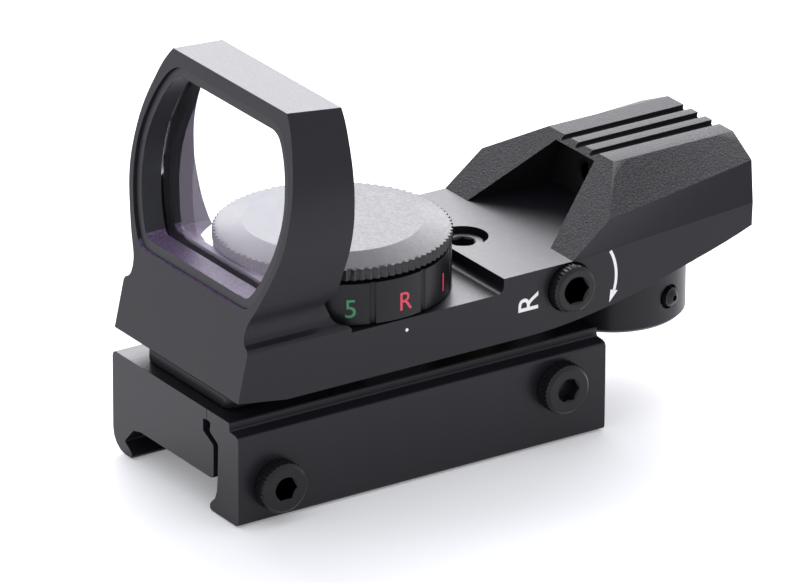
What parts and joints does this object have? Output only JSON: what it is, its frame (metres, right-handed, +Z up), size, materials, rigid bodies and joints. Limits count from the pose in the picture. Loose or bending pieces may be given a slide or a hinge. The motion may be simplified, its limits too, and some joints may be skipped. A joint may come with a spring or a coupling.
{
  "type": "red dot sight",
  "caption": "Open reflex dot finder: raked lens frame, brightness dial with battery cap, emitter hood and reticle selector on a flexing rail clamp.",
  "frame": {"origin": "centre of the face of the clamp that sits on the rail", "axes": "+X forward towards the lens, +Y the side with the screw heads, +Z up"},
  "size_m": [0.0854, 0.0382, 0.0565],
  "materials": {
    "clamp_black": "black anodised extrusion, fine brushed satin",
    "housing_black": "black anodised die casting, satin",
    "hood_textured": "black, fine bead-blasted texture",
    "hood_inner": "flat black, non-reflecting",
    "retainer_grey": "dark grey satin ring",
    "coated_glass": "clear glass with a faint violet coating",
    "seal_rubber": "matt",
    "dial_black": "black anodised, satin, coloured figures",
    "cap_black": "black anodised, turned face and straight knurl",
    "screw_black": "black oxide",
    "bright_steel": "ground",
    "spring_steel": "drawn wire",
    "brass": "plain",
    "cell_nickel": "satin nickel",
    "inner_plastic": "moulded black",
    "board_green": "solder mask",
    "led_lens": "clear red epoxy",
    "reticle_film": "dark film"
  },
  "bodies": {
    "mount": {"rail_mount": "clamp_black", "pivot_bolt": "screw_black", "elevation_nut": "brass", "elevation_spring": "spring_steel", "windage_post": "bright_steel"},
    "jaw": {"clamp_jaw": "clamp_black"},
    "clamp_screw_a": {"clamp_screw_front": "screw_black"},
    "clamp_screw_b": {"clamp_screw_rear": "screw_black"},
    "traverse": {"pivot_block": "clamp_black"},
    "housing": {"main_housing": "housing_black", "emitter_hood": "hood_textured", "lens_retainer": "retainer_grey", "objective_lens": "coated_glass", "lens_seal": "seal_rubber", "bottom_cover": "housing_black", "cover_screws": "screw_black", "circuit_board": "board_green", "battery_holder": "inner_plastic", "battery_contact": "brass", "battery_cell": "cell_nickel", "pivot_pin": "bright_steel", "windage_plunger": "bright_steel", "windage_spring": "spring_steel", "aperture_plate": "hood_inner", "led_holder": "inner_plastic", "led_emitter": "led_lens", "hood_screws": "screw_black", "detent_ball": "bright_steel", "detent_spring": "spring_steel"},
    "dial": {"dial_ring": "dial_black", "dial_wiper": "brass"},
    "cap_seal": {"cap_oring": "seal_rubber"},
    "cap": {"battery_cap": "cap_black", "cap_spring": "spring_steel"},
    "elevation_drive": {"elevation_screw": "screw_black"},
    "windage_drive": {"windage_screw": "screw_black"},
    "selector": {"reticle_selector": "housing_black", "selector_screw": "screw_black", "reticle_drum": "inner_plastic", "reticle_film": "reticle_film"}
  },
  "joints": [
    {"name": "clamp_screw_front_turn", "type": "hinge", "parent": "jaw", "child": "clamp_screw_a", "pos_m": [0.0235, 0.01582, 0.0003], "axis": [0, -1, 0], "range_deg": [0, 138.4]},
    {"name": "clamp_screw_rear_turn", "type": "hinge", "parent": "jaw", "child": "clamp_screw_b", "pos_m": [-0.0218, 0.01582, 0.0037], "axis": [0, -1, 0], "range_deg": [0, 138.4]},
    {"name": "jaw_flex", "type": "hinge", "parent": "mount", "child": "jaw", "pos_m": [0, 0.00815, 0.0096], "axis": [-1, 0, 0], "range_deg": [0, 2]},
    {"name": "windage_traverse", "type": "hinge", "parent": "mount", "child": "traverse", "pos_m": [0.0155, 0, 0.0097], "axis": [0, 0, 1], "range_deg": [-0.8, 0.8]},
    {"name": "elevation_tilt", "type": "hinge", "parent": "traverse", "child": "housing", "pos_m": [0.0155, 0, 0.0147], "axis": [0, -1, 0], "range_deg": [-0.9, 0.9], "deforming": ["elevation_spring"]},
    {"name": "elevation_screw_turn", "type": "hinge", "parent": "housing", "child": "elevation_drive", "pos_m": [-0.0167, 0, 0.0173], "axis": [0, 0, 1], "range_deg": [-264.1, 264.1]},
    {"name": "windage_screw_turn", "type": "hinge", "parent": "housing", "child": "windage_drive", "pos_m": [-0.0237, 0.0154, 0.0175], "axis": [0, 1, 0], "range_deg": [-285.5, 285.5]},
    {"name": "brightness_dial", "type": "hinge", "parent": "housing", "child": "dial", "pos_m": [0.0037, 0, 0.0222], "axis": [0, 0, 1], "continuous": true},
    {"name": "cap_lift", "type": "slide", "parent": "dial", "child": "cap_seal", "axis": [0, 0, 1], "range_m": [0, 0.003]},
    {"name": "cap_turn", "type": "hinge", "parent": "cap_seal", "child": "cap", "pos_m": [0.0037, 0, 0.0257], "axis": [0, 0, 1], "range_deg": [0, 92]},
    {"name": "reticle_selector_turn", "type": "hinge", "parent": "housing", "child": "selector", "pos_m": [-0.0413, 0, 0.0123], "axis": [0, 0, 1], "range_deg": [-30, 60]}
  ],
  "couplings": [
    {"joint": "clamp_screw_front_turn", "follows": "jaw_flex", "ratio": 68.217},
    {"joint": "clamp_screw_rear_turn", "follows": "jaw_flex", "ratio": 68.217},
    {"joint": "elevation_screw_turn", "follows": "elevation_tilt", "ratio": 289.03},
    {"joint": "windage_screw_turn", "follows": "windage_traverse", "ratio": 351.86},
    {"joint": "cap_turn", "follows": "cap_lift", "rad_per_m": 523.6}
  ]
}
